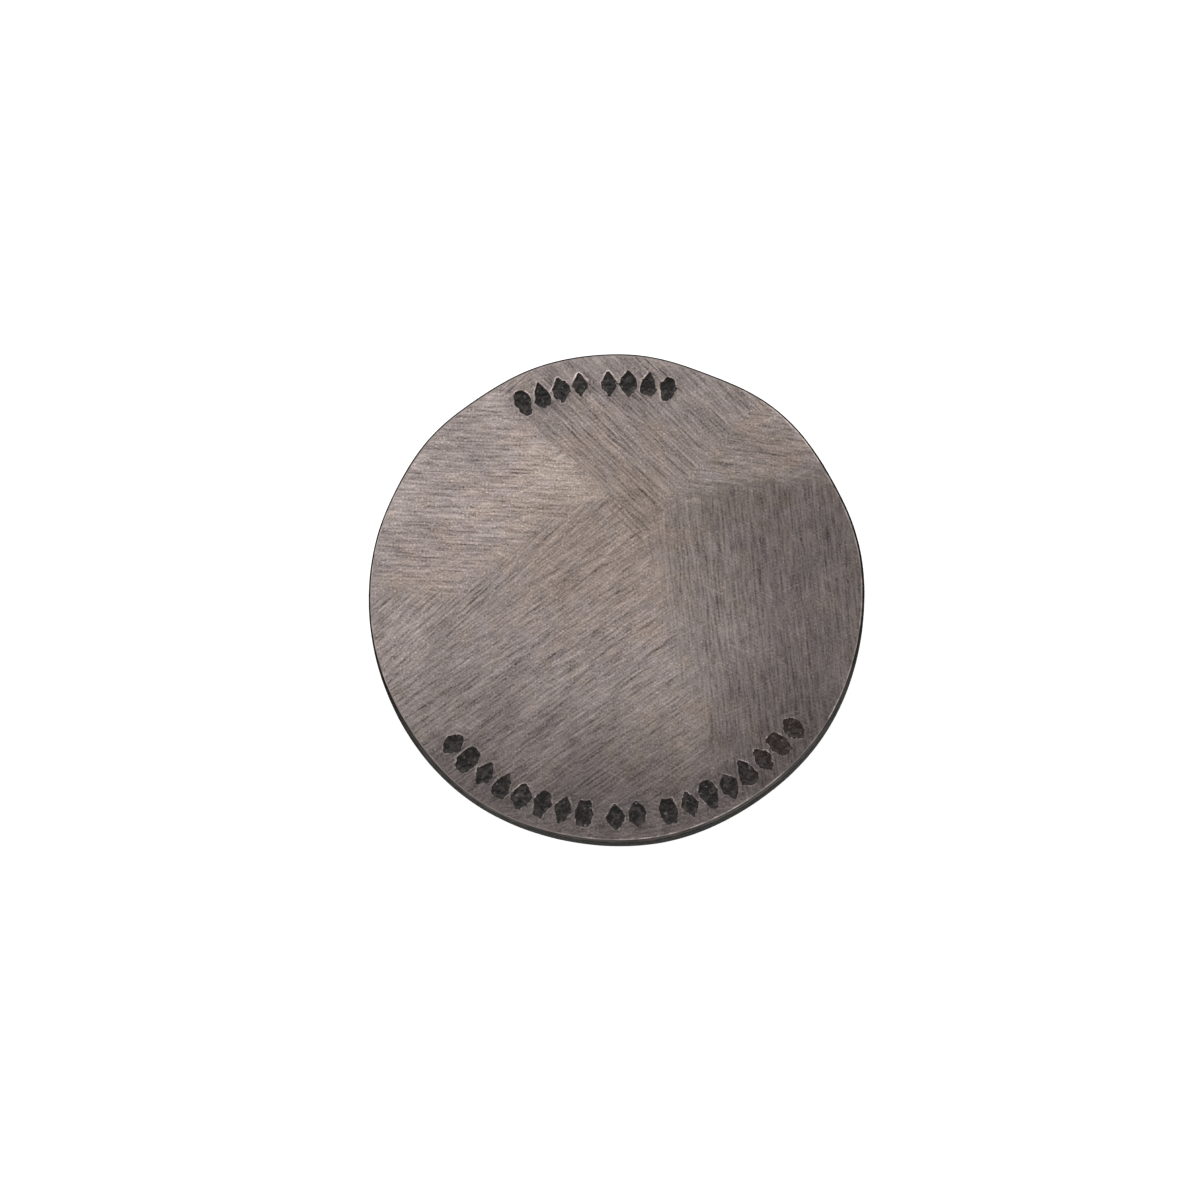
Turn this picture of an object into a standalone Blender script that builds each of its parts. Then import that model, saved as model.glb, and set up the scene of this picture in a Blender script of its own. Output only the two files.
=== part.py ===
"""Golf ball marker: a hand-filed steel disc with punched marks that are filled with black.

The disc lies flat with its marked face up, in metres. The origin is the centre of its underside.
"""

import math
import random

import bmesh
import bpy
from mathutils import Matrix, Vector

MM = 0.001

# The blank, before filing
BLANK_RADIUS = 12.80 * MM
THICKNESS = 2.0 * MM
RIM_STEPS = 144
EDGE_ROUND = 0.13 * MM
EDGE_ROUND_STEPS = 3
SHARP_ANGLE = math.radians(30)

# Where a file took the rim down: direction (degrees), reach along the rim (degrees), depth
FILED_SPOTS = (
    (29, 12, 0.15 * MM),
    (68, 12, 0.24 * MM),
    (95, 20, 0.11 * MM),
    (124, 12, 0.17 * MM),
    (152, 10, 0.08 * MM),
    (184, 42, 0.11 * MM),
    (261, 23, 0.19 * MM),
    (304, 20, 0.20 * MM),
    (347, 23, 0.11 * MM),
)

# The face is ground to four very shallow planes, which meet at two high points
RIGHT_PEAK = Vector((0.8 * MM, 3.7 * MM, 0))
LEFT_PEAK = Vector((-2.4 * MM, 5.6 * MM, 0))
# Each plane: the peak it passes through, the direction it falls in (degrees), how steeply
FACE_PLANES = (
    (RIGHT_PEAK, 58, 0.016),
    (RIGHT_PEAK, 240, 0.014),
    (RIGHT_PEAK, -20, 0.016),
    (LEFT_PEAK, 170, 0.0145),
)

# The punched marks and their filling
UPPER_HEIGHT = 1.36 * MM
LOWER_HEIGHT = 1.46 * MM
RECESS_DEPTH = 0.36 * MM
RECESS_TAPER = 0.20  # share of its width that a recess loses from face to floor
CUTTER_RISE = 0.10 * MM
FILL_SUNK = 0.04 * MM
FILL_FLOOR_GAP = 0.02 * MM
FILL_SHARE = 0.93  # the filling's width as a share of its recess
ARC_STEPS = 8
GROUP_GAP = 0.45  # what an empty place adds between two marks, as a share of their usual spacing
TILT_SPREAD = 4.0
RADIUS_SPREAD = 0.07 * MM
SIZE_SPREAD = 0.05
HAND_SEED = 11


def clear_scene():
    for thing in list(bpy.data.objects):
        bpy.data.objects.remove(thing, do_unlink=True)


def make_material(name, colour, roughness, metallic):
    material = bpy.data.materials.new(name)
    material.use_nodes = True
    shader = material.node_tree.nodes["Principled BSDF"]
    shader.inputs["Base Color"].default_value = (*colour, 1.0)
    shader.inputs["Roughness"].default_value = roughness
    shader.inputs["Metallic"].default_value = metallic
    material.diffuse_color = (*colour, 1.0)
    return material


def add_object(name, bm, material):
    bmesh.ops.recalc_face_normals(bm, faces=bm.faces[:])
    mesh = bpy.data.meshes.new(name)
    bm.to_mesh(mesh)
    bm.free()
    thing = bpy.data.objects.new(name, mesh)
    bpy.context.collection.objects.link(thing)
    if material is not None:
        mesh.materials.append(material)
    return thing


def shade_round(thing):
    thing.data.shade_smooth()
    thing.data.set_sharp_from_angle(angle=SHARP_ANGLE)


# --- The disc ---------------------------------------------------------------------------------


def rim_radius(angle):
    """The rim's radius at an angle in degrees: the blank less what the file took."""
    radius = BLANK_RADIUS
    for centre, reach, depth in FILED_SPOTS:
        away = (angle - centre + 180) % 360 - 180
        radius -= depth * math.exp(-((away / reach) ** 2))
    return radius


def rim_outline():
    """The rim's points, moved so that the middle of their box is at the origin."""
    points = []
    for step in range(RIM_STEPS):
        angle = 360 * step / RIM_STEPS
        reach = Vector((math.cos(math.radians(angle)), math.sin(math.radians(angle))))
        points.append(reach * rim_radius(angle))
    xs = [p.x for p in points]
    ys = [p.y for p in points]
    middle = Vector(((min(xs) + max(xs)) / 2, (min(ys) + max(ys)) / 2))
    return [p - middle for p in points]


def plane_fall(direction, steepness):
    """How much a face plane drops per metre towards +X and towards +Y."""
    angle = math.radians(direction)
    return Vector((math.cos(angle), math.sin(angle), 0)) * steepness


def face_height(point):
    """The height of the ground face over a point of the underside."""
    flat = Vector((point[0], point[1], 0))
    heights = []
    for peak, direction, steepness in FACE_PLANES:
        heights.append(THICKNESS - plane_fall(direction, steepness).dot(flat - peak))
    return min(heights)


def prism(outline, low, high):
    """A closed prism on an outline, from one height to another."""
    bm = bmesh.new()
    bottom = [bm.verts.new((p.x, p.y, low)) for p in outline]
    top = [bm.verts.new((p.x, p.y, high)) for p in outline]
    bm.faces.new(list(reversed(bottom)))
    bm.faces.new(top)
    for i in range(len(outline)):
        j = (i + 1) % len(outline)
        bm.faces.new((bottom[i], bottom[j], top[j], top[i]))
    return bm


def grind_face(bm):
    """Cuts the four face planes across the top of the blank."""
    for peak, direction, steepness in FACE_PLANES:
        normal = plane_fall(direction, steepness) + Vector((0, 0, 1))
        cut = bmesh.ops.bisect_plane(
            bm,
            geom=bm.verts[:] + bm.edges[:] + bm.faces[:],
            dist=1e-9,
            plane_co=peak + Vector((0, 0, THICKNESS)),
            plane_no=normal.normalized(),
            clear_outer=True,
        )
        edges = [e for e in cut["geom_cut"] if isinstance(e, bmesh.types.BMEdge)]
        bmesh.ops.contextual_create(bm, geom=edges)


def make_disc(material):
    bm = prism(rim_outline(), 0, 2 * THICKNESS)
    grind_face(bm)
    disc = add_object("steel_disc", bm, material)
    bevel = disc.modifiers.new("filed_edge", "BEVEL")
    bevel.width = EDGE_ROUND
    bevel.segments = EDGE_ROUND_STEPS
    bevel.limit_method = "ANGLE"
    bevel.angle_limit = SHARP_ANGLE
    bevel.use_clamp_overlap = False
    return disc


# --- The punches: outlines one unit high, about their own middle --------------------------------


def gem():
    """Widest above the middle, with both ends blunt."""
    return [(-0.12, -0.48), (0.12, -0.48), (0.33, 0.1), (0.15, 0.48), (-0.15, 0.48), (-0.33, 0.1)]


def lozenge():
    """A lozenge with its side corners cut off."""
    return [(0, -0.5), (0.31, -0.14), (0.31, 0.14), (0, 0.5), (-0.31, 0.14), (-0.31, -0.14)]


def barrel():
    """A tall hexagon."""
    return [(-0.2, -0.46), (0.2, -0.46), (0.33, 0), (0.2, 0.46), (-0.2, 0.46), (-0.33, 0)]


def star():
    """A plump four-pointed star, taller than it is wide."""
    return [
        (0, -0.5),
        (0.19, -0.22),
        (0.32, 0),
        (0.19, 0.22),
        (0, 0.5),
        (-0.19, 0.22),
        (-0.32, 0),
        (-0.19, -0.22),
    ]


def leaf():
    """Two equal arcs that meet in points at the top and bottom."""
    side = []
    for step in range(1, ARC_STEPS):
        share = step / ARC_STEPS
        side.append((0.32 * math.sin(math.pi * share), share - 0.5))
    other = [(-x, y) for x, y in reversed(side)]
    return [(0, -0.5), *side, (0, 0.5), *other]


def drop():
    """Round at the bottom and pointed at the top."""
    points = [(0.21, 0.17), (0, 0.52), (-0.21, 0.17)]
    for step in range(ARC_STEPS + 1):
        angle = math.pi * (1 + step / ARC_STEPS)
        points.append((0.32 * math.cos(angle), 0.3 * math.sin(angle) - 0.18))
    return points


# Each row: name, radius, mark height, angle of its first and last mark (degrees), outward tip,
# punches.
# None widens the gap there.
UPPER_HALF = (gem, drop, lozenge, star)
LOWER_HALF = (leaf, barrel, star, drop, lozenge, gem, star, barrel)
ROWS = (
    (
        "upper",
        11.15 * MM,
        UPPER_HEIGHT,
        115.3,
        76.2,
        1,
        (*UPPER_HALF, None, *reversed(UPPER_HALF)),
    ),
    (
        "lower",
        11.30 * MM,
        LOWER_HEIGHT,
        222.2,
        323.0,
        -1,
        (*LOWER_HALF, None, leaf, leaf, None, *reversed(LOWER_HALF)),
    ),
)


def spaced(punches):
    """Each punch with its place along the row, from 0 to 1."""
    placed = []
    place = 0
    for punch in punches:
        if punch is None:
            place += GROUP_GAP
        else:
            placed.append((place, punch))
            place += 1
    length = placed[-1][0]
    return [(place / length, punch) for place, punch in placed]


def punch_places():
    """Every mark as (name, outline, place, size), set a little unevenly, as by hand."""
    hand = random.Random(HAND_SEED)
    places = []
    for row, radius, height, first, last, tip, punches in ROWS:
        for number, (share, punch) in enumerate(spaced(punches), start=1):
            angle = first + (last - first) * share
            reach = radius + hand.uniform(-RADIUS_SPREAD, RADIUS_SPREAD)
            lean = hand.uniform(-TILT_SPREAD, TILT_SPREAD)
            size = height * (1 + hand.uniform(-SIZE_SPREAD, SIZE_SPREAD))
            turn = math.radians(angle - 90 * tip + lean)
            centre = Matrix.Rotation(math.radians(angle), 4, "Z") @ Vector((reach, 0, 0))
            place = Matrix.Translation(centre) @ Matrix.Rotation(turn, 4, "Z")
            places.append((f"{row}_infill_{number:02d}", punch(), place, size))
    return places


def tapered_plug(bm, outline, place, size, low, high, share):
    """Adds a closed plug to bm. Its width at any depth is share of its recess's width there."""
    middle = place.translation
    face = face_height(middle)
    loops = []
    for height in (low, high):
        depth = face - height
        width = size * share * (1 - RECESS_TAPER * depth / RECESS_DEPTH)
        ring = []
        for x, y in outline:
            at = place @ Vector((x * width, y * width, 0))
            ring.append(bm.verts.new((at.x, at.y, height)))
        loops.append(ring)
    bottom, top = loops
    bm.faces.new(list(reversed(bottom)))
    bm.faces.new(top)
    for i in range(len(outline)):
        j = (i + 1) % len(outline)
        bm.faces.new((bottom[i], bottom[j], top[j], top[i]))


def cut_recesses(disc, places):
    """One cutter object holds every punch's shape, and is taken out of the disc."""
    bm = bmesh.new()
    for _, outline, place, size in places:
        face = face_height(place.translation)
        tapered_plug(bm, outline, place, size, face - RECESS_DEPTH, face + CUTTER_RISE, 1)
    cutter = add_object("recess_cutter", bm, None)
    cutter.hide_render = True
    cutter.display_type = "WIRE"
    cut = disc.modifiers.new("punched_recesses", "BOOLEAN")
    cut.operation = "DIFFERENCE"
    cut.solver = "EXACT"
    cut.object = cutter


def make_infills(places, material):
    """The black filling of each recess, a little below the face and clear of the steel."""
    for name, outline, place, size in places:
        face = face_height(place.translation)
        low = face - RECESS_DEPTH + FILL_FLOOR_GAP
        bm = bmesh.new()
        tapered_plug(bm, outline, place, size, low, face - FILL_SUNK, FILL_SHARE)
        shade_round(add_object(name, bm, material))


def main():
    clear_scene()
    steel = make_material("blackened_steel", (0.21, 0.19, 0.18), 0.42, 1.0)
    black = make_material("black_filling", (0.016, 0.016, 0.017), 0.38, 0.0)
    places = punch_places()
    disc = make_disc(steel)
    cut_recesses(disc, places)
    shade_round(disc)
    make_infills(places, black)


main()
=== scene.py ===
"""The looks of a golf ball marker: a brushed, blackened steel disc with black-filled punch marks.

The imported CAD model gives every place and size. Lengths in this script are in millimetres until a
mesh, a light or the camera is made.
"""

import math

import bmesh
import bpy
import numpy as np
from mathutils import Matrix, Vector
from mathutils.geometry import delaunay_2d_cdt
from mathutils.noise import noise as wander


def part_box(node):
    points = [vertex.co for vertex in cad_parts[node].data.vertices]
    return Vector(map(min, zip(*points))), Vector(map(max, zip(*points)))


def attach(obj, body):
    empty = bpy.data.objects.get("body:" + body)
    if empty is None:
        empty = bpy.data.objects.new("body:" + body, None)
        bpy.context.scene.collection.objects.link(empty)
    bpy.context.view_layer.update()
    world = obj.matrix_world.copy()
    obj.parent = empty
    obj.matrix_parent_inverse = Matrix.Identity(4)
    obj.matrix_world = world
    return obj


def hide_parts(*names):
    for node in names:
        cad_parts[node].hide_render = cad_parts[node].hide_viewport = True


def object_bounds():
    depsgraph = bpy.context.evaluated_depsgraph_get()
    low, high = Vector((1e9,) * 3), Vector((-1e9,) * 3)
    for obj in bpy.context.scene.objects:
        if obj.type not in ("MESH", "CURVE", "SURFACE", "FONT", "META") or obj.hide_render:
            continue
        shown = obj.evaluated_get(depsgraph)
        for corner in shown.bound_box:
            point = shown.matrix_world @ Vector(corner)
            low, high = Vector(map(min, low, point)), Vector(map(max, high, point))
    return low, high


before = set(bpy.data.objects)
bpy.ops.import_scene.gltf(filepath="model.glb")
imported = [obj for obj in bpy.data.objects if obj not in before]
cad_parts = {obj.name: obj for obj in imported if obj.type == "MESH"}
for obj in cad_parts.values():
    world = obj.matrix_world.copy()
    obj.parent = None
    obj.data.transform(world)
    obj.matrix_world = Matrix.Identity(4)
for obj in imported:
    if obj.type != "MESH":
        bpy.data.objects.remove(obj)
CAD_BOX = [list(corner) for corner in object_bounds()]

MM = 0.001
DISC = "steel_disc"
INFILLS = sorted(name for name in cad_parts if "_infill_" in name)

# The disc's mesh
RIM_POINTS = 720
RIM_SMOOTHING = 4  # rim points either side that even out the CAD's corners
FACE_SPACING = 0.26
FACE_RINGS = (0.05, 0.11, 0.19)  # distances inward from the face's edge
MARK_SPACING = 0.045
MARK_RINGS = (0.022, 0.05, 0.09, 0.15)  # distances outward from a mark's outline
CLEAR_OF_RINGS = 0.14
CLEAR_OF_MARKS = 0.084
RIDGE_SOFTNESS = 0.0035
FACE_WANDER = 0.006
ROUND_STEPS = 5
EDGE_WIDTH = 0.09
WIDER_EDGES = ((-50, 62, 0.07), (-145, 16, 0.13))  # where (degrees), over how far, by how much
WALL_STEPS = 10
WALL_BULGE = 0.012
FILE_DEPTH = 0.016
FILE_MARKS = ((9, 2.2, 0, 0.65), (34, 5, 8, 0.35))  # marks round the wall, up it, shift, share
BACK_RINGS = (0.985, 0.95, 0.88, 0.76, 0.62, 0.46, 0.3, 0.14)  # shares of the radius
FAR = 9.0  # stands for any larger distance
MARK_REACH = 2.4  # distances to a mark are only worked out this near its middle
FACE_SLOT, WALL_SLOT, BACK_SLOT, RECESS_SLOT = range(4)  # the disc's materials

# How the CAD disc is read
SAME_PLACE_DIGITS = 5
SAME_HEIGHT = 1e-4
LEVEL_NORMAL = 0.995  # the upward part of a ground plane's normal is at least this
SAME_NORMAL = 0.003
FACE_FROM = 0.8  # share of the thickness above which a level side belongs to the face
FACE_AREA = 0.25  # in square mm; smaller level sides are recess floors
TRIANGLE_GAP = 1e-5

# Unevenness, as a sum of noises: how far across their bumps are, how strong they are, a seed
FACE_WAVES = ((3.1, 1.0, 5), (1.3, 0.5, 9))
LIP_WAVES = ((0.45, 1.0, 12),)
FILL_WAVES = ((0.16, 1.0, 3), (0.07, 0.5, 6))

# The recesses and their filling
RECESS_PER_FILL = 1.11
RECESS_DEPTH = 0.34
WALL_TAPER = 0.18
RECESS_STEPS = ((0.03, 0.02), (0.12, 0.06), (RECESS_DEPTH, WALL_TAPER))  # depth, share narrower
LEVEL_DEPTH = 0.12  # from here down a recess is level; above, it follows the face
LIP_HEIGHT = 0.010
LIP_REACH = 0.055
LIP_UNEVEN = 1.2
OUTLINE_WOBBLE = 0.04
CORNER_SMOOTHING = 7
FILL_STEPS = (1.0, 0.96, 0.86, 0.7, 0.5, 0.28)
FILL_EDGE_DEPTH = 0.012
FILL_MIDDLE_DEPTH = 0.05
FILL_SLOPE = 0.2  # share of the way to the middle over which a filling sinks
FILL_FOOT = 0.98  # a filling's underside against its recess's floor
FILL_LUMPS = 0.028


# --- Reading the frame --------------------------------------------------------------------------


def node_points(node):
    """A CAD node's points in mm, each place once."""
    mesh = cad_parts[node].data
    points = np.array([v.co for v in mesh.vertices]) / MM
    return np.unique(points.round(SAME_PLACE_DIGITS), axis=0)


def by_angle(points):
    """Points in order round their own middle."""
    away = points[:, :2] - points[:, :2].mean(axis=0)
    return points[np.argsort(np.arctan2(away[:, 1], away[:, 0]))]


def rim_loop():
    """The disc's outline at its widest, as RIM_POINTS evenly turned (angle, radius) pairs."""
    points = node_points(DISC)
    lower = points[points[:, 2] < points[:, 2].max() / 2]
    ring = by_angle(lower[lower[:, 2] > lower[:, 2].max() - SAME_HEIGHT])
    angles = np.arctan2(ring[:, 1], ring[:, 0])
    radii = np.hypot(ring[:, 0], ring[:, 1])
    turn = np.linspace(-math.pi, math.pi, RIM_POINTS, endpoint=False)
    radius = np.interp(turn, angles, radii, period=2 * math.pi)
    near = range(-RIM_SMOOTHING, RIM_SMOOTHING + 1)
    return turn, sum(np.roll(radius, step) for step in near) / len(near)


def face_planes():
    """The ground planes of the face, each as (height at the middle, rise towards +X, +Y)."""
    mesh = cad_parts[DISC].data
    face_from = FACE_FROM * CAD_BOX[1][2]
    groups = []
    for polygon in mesh.polygons:
        level = polygon.normal.z > LEVEL_NORMAL
        if not level or polygon.center.z < face_from or polygon.area < FACE_AREA * MM**2:
            continue
        corners = [mesh.vertices[i].co / MM for i in polygon.vertices]
        for normal, own_corners in groups:
            if (normal - polygon.normal).length < SAME_NORMAL:
                own_corners.extend(corners)
                break
        else:
            groups.append((polygon.normal.copy(), corners))
    planes = []
    for _, corners in groups:
        places = np.array(corners)
        sides = np.column_stack([np.ones(len(places)), places[:, 0], places[:, 1]])
        planes.append(np.linalg.lstsq(sides, places[:, 2], rcond=None)[0])
    return planes


def mark_outline(node):
    """A filling's top outline, widened to the recess that it sits in."""
    points = node_points(node)
    top = points[points[:, 2] > points[:, 2].mean()]
    outline = by_angle(top)[:, :2]
    middle = outline.mean(axis=0)
    return middle + (outline - middle) * RECESS_PER_FILL


RIM_TURN, RIM_RADIUS = rim_loop()
PLANES = face_planes()


# --- Heights and distances ----------------------------------------------------------------------


def drift(x, y, size, seed):
    """Smooth noise from -1 to 1, with bumps about size mm across."""
    return wander(Vector((x / size, y / size, seed)))


def waves(points, parts):
    """Noise at each of (n, 2) points, summed from parts of a bump size, a strength and a seed."""
    return np.array([sum(strength * drift(x, y, size, seed) for size, strength, seed in parts)
                     for x, y in points])


def edge_round(turn):
    """How wide the rounded edge is at each angle."""
    width = np.full(len(turn), EDGE_WIDTH)
    for middle, spread, extra in WIDER_EDGES:
        away = (np.degrees(turn) - middle + 180) % 360 - 180
        width += extra * np.exp(-((away / spread) ** 2))
    return width


def ground_height(points):
    """The face's height at (n, 2) points: its planes, with soft ridges and a slight unevenness."""
    heights = np.array([a + b * points[:, 0] + c * points[:, 1] for a, b, c in PLANES])
    lowest = heights.min(axis=0)
    total = np.exp((lowest - heights) / RIDGE_SOFTNESS).sum(axis=0)
    return lowest - RIDGE_SOFTNESS * np.log(total) + FACE_WANDER * waves(points, FACE_WAVES)


def distance_to_outline(points, outline):
    """Each point's distance to a closed outline."""
    best = np.full(len(points), np.inf)
    for a, b in zip(outline, np.roll(outline, -1, axis=0), strict=True):
        side = b - a
        share = np.clip(((points - a) @ side) / (side @ side), 0, 1)
        gap = np.linalg.norm(points - (a + share[:, None] * side), axis=1)
        best = np.minimum(best, gap)
    return best


def inside_outline(points, outline):
    """Whether each point lies inside a closed outline."""
    inside = np.zeros(len(points), bool)
    for a, b in zip(outline, np.roll(outline, -1, axis=0), strict=True):
        spans = (a[1] > points[:, 1]) != (b[1] > points[:, 1])
        rise = b[1] - a[1]
        crossing = a[0] + (points[:, 1] - a[1]) * (b[0] - a[0]) / (rise if rise else 1)
        inside ^= spans & (points[:, 0] < crossing)
    return inside


def hand_cut(outline, seed):
    """A punched outline as it really comes out: close points, soft corners, a wavering line."""
    points = []
    for a, b in zip(outline, np.roll(outline, -1, axis=0), strict=True):
        steps = max(1, round(np.linalg.norm(b - a) / MARK_SPACING))
        points.extend(a + (b - a) * step / steps for step in range(steps))
    points = np.array(points)
    for _ in range(CORNER_SMOOTHING):
        points = (np.roll(points, 1, axis=0) + 2 * points + np.roll(points, -1, axis=0)) / 4
    away = points - points.mean(axis=0)
    out = away / np.linalg.norm(away, axis=1)[:, None]
    push = waves(points, ((0.30, 1.0, seed), (0.15, 0.3, seed + 3)))
    return points + out * (OUTLINE_WOBBLE * push)[:, None]


def outward(outline):
    """The direction out of a closed, anticlockwise outline at each of its points."""
    along = np.roll(outline, -1, axis=0) - np.roll(outline, 1, axis=0)
    out = np.column_stack([along[:, 1], -along[:, 0]])
    return out / np.linalg.norm(out, axis=1)[:, None]


MARKS = {}
for number, infill in enumerate(INFILLS):
    MARKS[infill] = hand_cut(mark_outline(infill), 20 + 7 * number)


def distance_to_marks(points):
    """Each point's distance to the nearest mark, or FAR where none is near."""
    best = np.full(len(points), FAR)
    for outline in MARKS.values():
        middle = outline.mean(axis=0)
        near = np.linalg.norm(points - middle, axis=1) < MARK_REACH
        if near.any():
            best[near] = np.minimum(best[near], distance_to_outline(points[near], outline))
    return best


# --- The steel disc -----------------------------------------------------------------------------


def rim_points(inset):
    """Points along the rim, moved inward."""
    radius = RIM_RADIUS - inset
    return np.column_stack([radius * np.cos(RIM_TURN), radius * np.sin(RIM_TURN)])


def face_points():
    """Every point of the face: the edge, rings inside it, the marks, rings round them, a grid."""
    edge = edge_round(RIM_TURN)
    fixed = [rim_points(edge)]
    loops = [(0, RIM_POINTS)]
    count = RIM_POINTS
    for outline in MARKS.values():
        fixed.append(outline)
        loops.append((count, count + len(outline)))
        count += len(outline)
    loose = [rim_points(edge + inset)[::2] for inset in FACE_RINGS]
    for outline in MARKS.values():
        loose.extend(outline + outward(outline) * reach for reach in MARK_RINGS)
    placed = np.concatenate(fixed + loose)
    reach = RIM_RADIUS.max()
    rows = np.arange(-reach, reach, FACE_SPACING * math.sqrt(3) / 2)
    grid = []
    for number, y in enumerate(rows):
        x = np.arange(-reach, reach, FACE_SPACING) + (number % 2) * FACE_SPACING / 2
        grid.append(np.column_stack([x, np.full(len(x), y)]))
    grid = np.concatenate(grid)
    inner = rim_points(edge + FACE_RINGS[-1] + CLEAR_OF_RINGS)
    grid = grid[inside_outline(grid, inner)]
    grid = grid[distance_to_marks(grid) > MARK_RINGS[-1] + CLEAR_OF_MARKS]
    for outline in MARKS.values():
        grid = grid[~inside_outline(grid, outline)]
    loose_points = placed[count:]
    for outline in MARKS.values():
        loose_points = loose_points[~inside_outline(loose_points, outline)]
    return np.concatenate([placed[:count], loose_points, grid]), loops


def face_triangles(points, loops):
    """Triangles over the face that follow its edge and leave the marks open."""
    edges = []
    for first, last in loops:
        edges.extend((i, i + 1) for i in range(first, last - 1))
        edges.append((last - 1, first))
    flat = [Vector(p) for p in points]
    made, _, triangles, sources, _, _ = delaunay_2d_cdt(flat, edges, [], 0, TRIANGLE_GAP)
    if len(made) != len(points) or any(s != [i] for i, s in enumerate(sources)):
        raise RuntimeError("two outlines on the face cross")
    middles = np.array([points[list(t)].mean(axis=0) for t in triangles])
    keep = inside_outline(middles, points[: loops[0][1]])
    for first, last in loops[1:]:
        keep &= ~inside_outline(middles, points[first:last])
    return [t for t, kept in zip(triangles, keep, strict=True) if kept]


def lip(points, distance):
    """The uneven burr that a punch throws up round a mark, at each point's distance from it."""
    uneven = 1 + LIP_UNEVEN * waves(points, LIP_WAVES)
    return LIP_HEIGHT * np.exp(-((distance / LIP_REACH) ** 2)) * uneven


def bridge(bm, upper, lower, slot):
    """Quads between two closed loops of the same length."""
    for i in range(len(upper)):
        j = (i + 1) % len(upper)
        face = bm.faces.new((upper[i], lower[i], lower[j], upper[j]))
        face.material_index = slot
        face.smooth = True


def add_loop(bm, points, heights, **stored):
    """New points in a ring. Each stored number is a layer's name and a value for every point."""
    loop = [bm.verts.new((x, y, z)) for (x, y), z in zip(points, heights, strict=True)]
    for name, value in stored.items():
        layer = bm.verts.layers.float[name]
        for vertex in loop:
            vertex[layer] = value
    return loop


def add_edge_wall(bm, face_loop):
    """The rounded edge, the filed wall and the lower edge, down to the underside's loop."""
    width = edge_round(RIM_TURN)
    top = np.array([v.co.z for v in face_loop])
    profile = []
    for step in range(1, ROUND_STEPS + 1):
        angle = math.pi / 2 * step / ROUND_STEPS
        profile.append((width * (1 - math.sin(angle)), top - width * (1 - math.cos(angle))))
    for step in range(1, WALL_STEPS):
        share = step / WALL_STEPS
        bulge = 4 * share * (1 - share) * WALL_BULGE
        high = top - width
        inset = np.full(RIM_POINTS, WALL_BULGE - bulge)
        profile.append((inset, high + (width - high) * share))
    for step in range(ROUND_STEPS + 1):
        angle = math.pi / 2 * step / ROUND_STEPS
        profile.append((width * (1 - math.cos(angle)), width * (1 - math.sin(angle))))
    above = face_loop
    for number, (inset, height) in enumerate(profile):
        filed = []
        for x, y, z in zip(np.cos(RIM_TURN), np.sin(RIM_TURN), height, strict=True):
            depth = 1
            for round_it, up_it, shift, share in FILE_MARKS:
                depth += share * wander(Vector((x * round_it, y * round_it, z * up_it + shift)))
            filed.append(FILE_DEPTH * depth / 2)
        last = number == len(profile) - 1
        height = np.zeros(RIM_POINTS) if last else height
        points = rim_points(inset + (0 if last else np.array(filed)))
        loop = add_loop(bm, points, height, mark_gap=FAR, rim_gap=(height - top).mean())
        bridge(bm, above, loop, WALL_SLOT)
        above = loop
    return above


def add_underside(bm, loop):
    """The flat underside, as rings that close on the middle."""
    outer = np.array([v.co.xy for v in loop])
    ring = loop
    for share in BACK_RINGS:
        inner = add_loop(bm, outer * share, np.zeros(len(outer)))
        bridge(bm, ring, inner, BACK_SLOT)
        ring = inner
    middle = bm.verts.new((0, 0, 0))
    for i in range(len(ring)):
        face = bm.faces.new((ring[i], middle, ring[(i + 1) % len(ring)]))
        face.material_index = BACK_SLOT
        face.smooth = True


def add_recess(bm, loop):
    """A recess's wall and floor under its outline on the face."""
    outline = np.array([v.co.xy for v in loop])
    heights = np.array([v.co.z for v in loop])
    middle = outline.mean(axis=0)
    above = loop
    for depth, taper in RECESS_STEPS:
        level = heights.mean() - LIP_HEIGHT - depth
        share = min(1.0, depth / LEVEL_DEPTH)
        under = (heights - depth) * (1 - share) + level * share
        narrower = middle + (outline - middle) * (1 - taper)
        ring = add_loop(bm, narrower, under, mark_gap=-depth, rim_gap=FAR)
        bridge(bm, above, ring, RECESS_SLOT)
        above = ring
    floor = add_loop(bm, [middle], [level], mark_gap=-RECESS_DEPTH, rim_gap=FAR)[0]
    for i in range(len(above)):
        face = bm.faces.new((above[i], floor, above[(i + 1) % len(above)]))
        face.material_index = RECESS_SLOT


def finished(name, bm, materials):
    """A piece in the scene, from a bmesh in mm, with its faces pointing out."""
    bmesh.ops.recalc_face_normals(bm, faces=bm.faces[:])
    bmesh.ops.scale(bm, vec=(MM, MM, MM), verts=bm.verts[:])
    mesh = bpy.data.meshes.new(name)
    bm.to_mesh(mesh)
    bm.free()
    for material in materials:
        mesh.materials.append(material)
    piece = bpy.data.objects.new(name, mesh)
    bpy.context.scene.collection.objects.link(piece)
    return piece


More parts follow.
